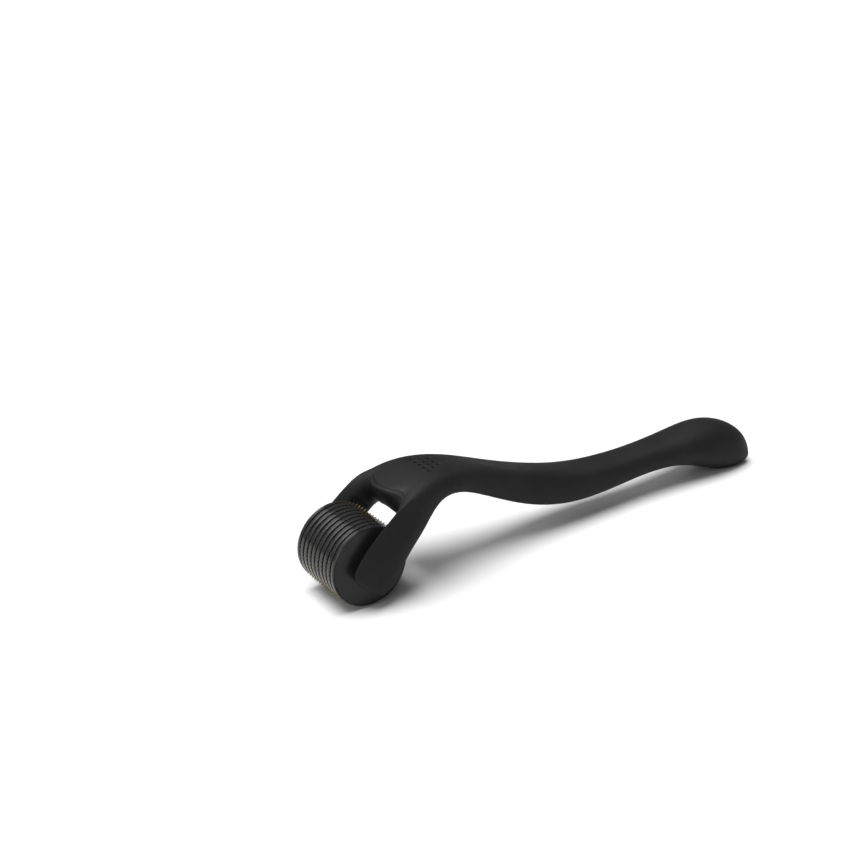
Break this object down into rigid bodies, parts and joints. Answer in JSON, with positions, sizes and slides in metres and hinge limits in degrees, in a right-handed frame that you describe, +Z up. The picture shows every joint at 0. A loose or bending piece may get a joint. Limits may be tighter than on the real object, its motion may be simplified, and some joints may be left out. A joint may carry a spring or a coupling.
{
  "type": "derma roller",
  "caption": "Hand-held micro-needle roller: a drum of toothed gold discs and black spacer rings spins between the two arms of a curved swan-neck handle with a wide flat tail.",
  "frame": {"origin": "on the floor plane below the middle of the object's length, in the middle plane between the two arms", "axes": "+X from the roller towards the handle's tail, +Y along the roller's axle, +Z up"},
  "size_m": [0.1651, 0.0304, 0.034],
  "materials": {
    "handle_plastic": "soft-touch matte",
    "panel_plastic": "satin",
    "drum_plastic": "gloss",
    "needle_gold": "gold coated",
    "axle_steel": "ground",
    "bush_plastic": "satin"
  },
  "bodies": {
    "handle": {"handle_upper_shell": "handle_plastic", "handle_lower_shell": "handle_plastic", "grip_panel": "panel_plastic", "axle": "axle_steel", "axle_bush_left": "bush_plastic", "axle_bush_right": "bush_plastic"},
    "roller": {"roller_core": "drum_plastic", "end_cap_left": "drum_plastic", "end_cap_right": "drum_plastic", "needle_disc_1": "needle_gold", "needle_disc_2": "needle_gold", "needle_disc_3": "needle_gold", "needle_disc_4": "needle_gold", "needle_disc_5": "needle_gold", "needle_disc_6": "needle_gold", "needle_disc_7": "needle_gold", "needle_disc_8": "needle_gold", "needle_disc_9": "needle_gold", "spacer_ring_1": "drum_plastic", "spacer_ring_2": "drum_plastic", "spacer_ring_3": "drum_plastic", "spacer_ring_4": "drum_plastic", "spacer_ring_5": "drum_plastic", "spacer_ring_6": "drum_plastic", "spacer_ring_7": "drum_plastic", "spacer_ring_8": "drum_plastic"}
  },
  "joints": [
    {"name": "roller_spin", "type": "hinge", "parent": "handle", "child": "roller", "pos_m": [-0.0696, 0, 0.01295], "axis": [0, 1, 0], "continuous": true}
  ]
}
